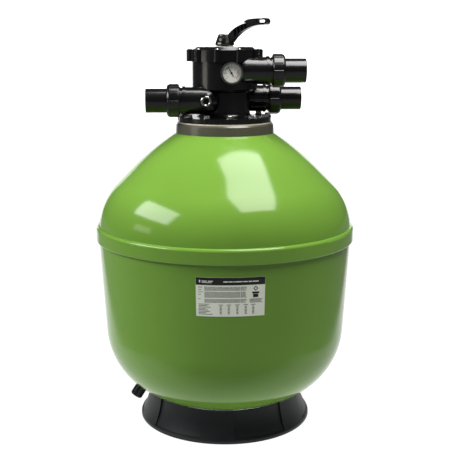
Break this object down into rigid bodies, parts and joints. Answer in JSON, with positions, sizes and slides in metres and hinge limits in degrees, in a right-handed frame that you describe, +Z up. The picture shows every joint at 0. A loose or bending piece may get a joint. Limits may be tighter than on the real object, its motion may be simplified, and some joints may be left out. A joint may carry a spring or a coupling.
{
  "type": "sand filter tank",
  "caption": "Upright pool sand filter: a domed two-part tank on a flared skirt base, with a top-mounted lever selector valve, union ports and a pressure gauge.",
  "frame": {"origin": "on the floor, on the tank's vertical axis", "axes": "+Z up along the tank's axis; -Y is the front, with the label and gauge; +X is towards the pump and return ports"},
  "size_m": [0.635, 0.6348, 0.9915],
  "materials": {
    "tank_green": "smooth glossy moulded resin tank",
    "base_black": "black moulded plastic, fine texture",
    "neck_grey": "warm grey moulded ring",
    "label_grey": "printed film label",
    "valve_black": "black glass-filled plastic, satin",
    "seal_rubber": "moulded rubber",
    "gasket_cream": "pale flat gasket",
    "stainless": "stainless steel",
    "brass": "machined brass",
    "rotor_grey": "moulded rotor",
    "gauge_black": "black gauge case",
    "bezel_chrome": "bright plated ring",
    "dial_white": "white printed dial",
    "needle_black": "black painted pointer",
    "clear_lens": "clear window",
    "sight_lens": "smoked clear sight lens",
    "pvc_white": "white moulded plastic"
  },
  "bodies": {
    "filter": {"base": "base_black", "lower_tank": "tank_green", "upper_tank": "tank_green", "neck_ring": "neck_grey", "data_label": "label_grey", "drain_spigot": "valve_black", "drain_gasket": "seal_rubber", "drain_backnut": "valve_black", "drain_screen": "pvc_white", "flange_gasket": "gasket_cream", "valve_body": "valve_black", "pump_port": "valve_black", "return_port": "valve_black", "waste_port": "valve_black", "flange_bolts": "stainless", "flange_washers": "stainless", "valve_lid": "valve_black", "lid_oring": "seal_rubber", "lid_screws": "stainless", "lid_inserts": "brass", "rotor_gasket": "seal_rubber", "gauge_case": "gauge_black", "gauge_bezel": "bezel_chrome", "gauge_dial": "dial_white", "gauge_lens": "clear_lens", "gauge_stem": "brass", "sight_glass": "sight_lens", "sight_oring": "seal_rubber", "sight_retainer": "bezel_chrome", "pump_union_oring": "seal_rubber", "return_union_oring": "seal_rubber", "waste_union_oring": "seal_rubber", "standpipe": "pvc_white", "standpipe_oring": "seal_rubber", "diffuser": "pvc_white", "lateral_hub": "pvc_white"},
    "selector": {"spring_washer": "stainless", "thrust_washer": "pvc_white", "spring": "stainless"},
    "rotor": {"rotor": "rotor_grey", "spindle_orings": "seal_rubber", "handle_pin": "stainless"},
    "handle": {"handle": "valve_black"},
    "needle": {"gauge_needle": "needle_black"},
    "pump_tail": {"pump_union_tail": "valve_black"},
    "pump_nut": {"pump_union_nut": "valve_black"},
    "return_tail": {"return_union_tail": "valve_black"},
    "return_nut": {"return_union_nut": "valve_black"},
    "waste_tail": {"waste_union_tail": "valve_black"},
    "waste_nut": {"waste_union_nut": "valve_black"},
    "drain_seal": {"drain_cap_seal": "seal_rubber"},
    "drain_cap": {"drain_cap": "valve_black"},
    "lateral_1": {"lateral_1": "pvc_white"},
    "lateral_2": {"lateral_2": "pvc_white"},
    "lateral_3": {"lateral_3": "pvc_white"},
    "lateral_4": {"lateral_4": "pvc_white"},
    "lateral_5": {"lateral_5": "pvc_white"},
    "lateral_6": {"lateral_6": "pvc_white"},
    "lateral_7": {"lateral_7": "pvc_white"},
    "lateral_8": {"lateral_8": "pvc_white"}
  },
  "joints": [
    {"name": "selector_turn", "type": "hinge", "parent": "filter", "child": "selector", "pos_m": [0, 0, 0.925], "axis": [0, 0, 1], "continuous": true},
    {"name": "rotor_lift", "type": "slide", "parent": "selector", "child": "rotor", "axis": [0, 0, 1], "range_m": [0, 0.006], "stiffness_N_per_m": 8000, "springref_m": -0.01, "deforming": ["spring"]},
    {"name": "handle_press", "type": "hinge", "parent": "rotor", "child": "handle", "pos_m": [0, 0, 0.942], "axis": [0.5, 0.866, 0], "range_deg": [0, 20]},
    {"name": "gauge_needle_swing", "type": "hinge", "parent": "filter", "child": "needle", "pos_m": [0.01108, -0.10542, 0.866], "axis": [-0.1045, 0.9945, 0], "range_deg": [-105, 165], "stiffness_Nm_per_rad": 0.001},
    {"name": "pump_union_draw", "type": "slide", "parent": "filter", "child": "pump_tail", "axis": [1, 0, 0], "range_m": [0, 0.012]},
    {"name": "pump_nut_turn", "type": "hinge", "parent": "pump_tail", "child": "pump_nut", "pos_m": [0.125, -0.048, 0.87], "axis": [1, 0, 0], "range_deg": [0, 1080]},
    {"name": "return_union_draw", "type": "slide", "parent": "filter", "child": "return_tail", "axis": [1, 0, 0], "range_m": [0, 0.012]},
    {"name": "return_nut_turn", "type": "hinge", "parent": "return_tail", "child": "return_nut", "pos_m": [0.125, 0.048, 0.8], "axis": [1, 0, 0], "range_deg": [0, 1080]},
    {"name": "waste_union_draw", "type": "slide", "parent": "filter", "child": "waste_tail", "axis": [-1, 0, 0], "range_m": [0, 0.012]},
    {"name": "waste_nut_turn", "type": "hinge", "parent": "waste_tail", "child": "waste_nut", "pos_m": [-0.125, -0.048, 0.8], "axis": [-1, 0, 0], "range_deg": [0, 1080]},
    {"name": "drain_cap_draw", "type": "slide", "parent": "filter", "child": "drain_seal", "axis": [-0.5401, -0.1447, -0.829], "range_m": [0, 0.012]},
    {"name": "drain_cap_turn", "type": "hinge", "parent": "drain_seal", "child": "drain_cap", "pos_m": [-0.21964, -0.05885, 0.07663], "axis": [-0.5401, -0.1447, -0.829], "range_deg": [0, 1440]},
    {"name": "lateral_1_fold", "type": "hinge", "parent": "filter", "child": "lateral_1", "pos_m": [-0.03649, -0.028, 0.1], "axis": [-0.6088, 0.7934, 0], "range_deg": [0, 82]},
    {"name": "lateral_2_fold", "type": "hinge", "parent": "filter", "child": "lateral_2", "pos_m": [-0.006, -0.04561, 0.1], "axis": [-0.9914, 0.1305, 0], "range_deg": [0, 82]},
    {"name": "lateral_3_fold", "type": "hinge", "parent": "filter", "child": "lateral_3", "pos_m": [0.028, -0.03649, 0.1], "axis": [-0.7934, -0.6088, 0], "range_deg": [0, 82]},
    {"name": "lateral_4_fold", "type": "hinge", "parent": "filter", "child": "lateral_4", "pos_m": [0.04561, -0.006, 0.1], "axis": [-0.1305, -0.9914, 0], "range_deg": [0, 82]},
    {"name": "lateral_5_fold", "type": "hinge", "parent": "filter", "child": "lateral_5", "pos_m": [0.03649, 0.028, 0.1], "axis": [0.6088, -0.7934, 0], "range_deg": [0, 82]},
    {"name": "lateral_6_fold", "type": "hinge", "parent": "filter", "child": "lateral_6", "pos_m": [0.006, 0.04561, 0.1], "axis": [0.9914, -0.1305, 0], "range_deg": [0, 82]},
    {"name": "lateral_7_fold", "type": "hinge", "parent": "filter", "child": "lateral_7", "pos_m": [-0.028, 0.03649, 0.1], "axis": [0.7934, 0.6088, 0], "range_deg": [0, 82]},
    {"name": "lateral_8_fold", "type": "hinge", "parent": "filter", "child": "lateral_8", "pos_m": [-0.04561, 0.006, 0.1], "axis": [0.1305, 0.9914, 0], "range_deg": [0, 82]}
  ],
  "couplings": [
    {"joint": "handle_press", "follows": "rotor_lift", "rad_per_m": 58},
    {"joint": "pump_union_draw", "follows": "pump_nut_turn", "m_per_rad": 0.00063662},
    {"joint": "return_union_draw", "follows": "return_nut_turn", "m_per_rad": 0.00063662},
    {"joint": "waste_union_draw", "follows": "waste_nut_turn", "m_per_rad": 0.00063662},
    {"joint": "drain_cap_draw", "follows": "drain_cap_turn", "m_per_rad": 0.00047746}
  ]
}
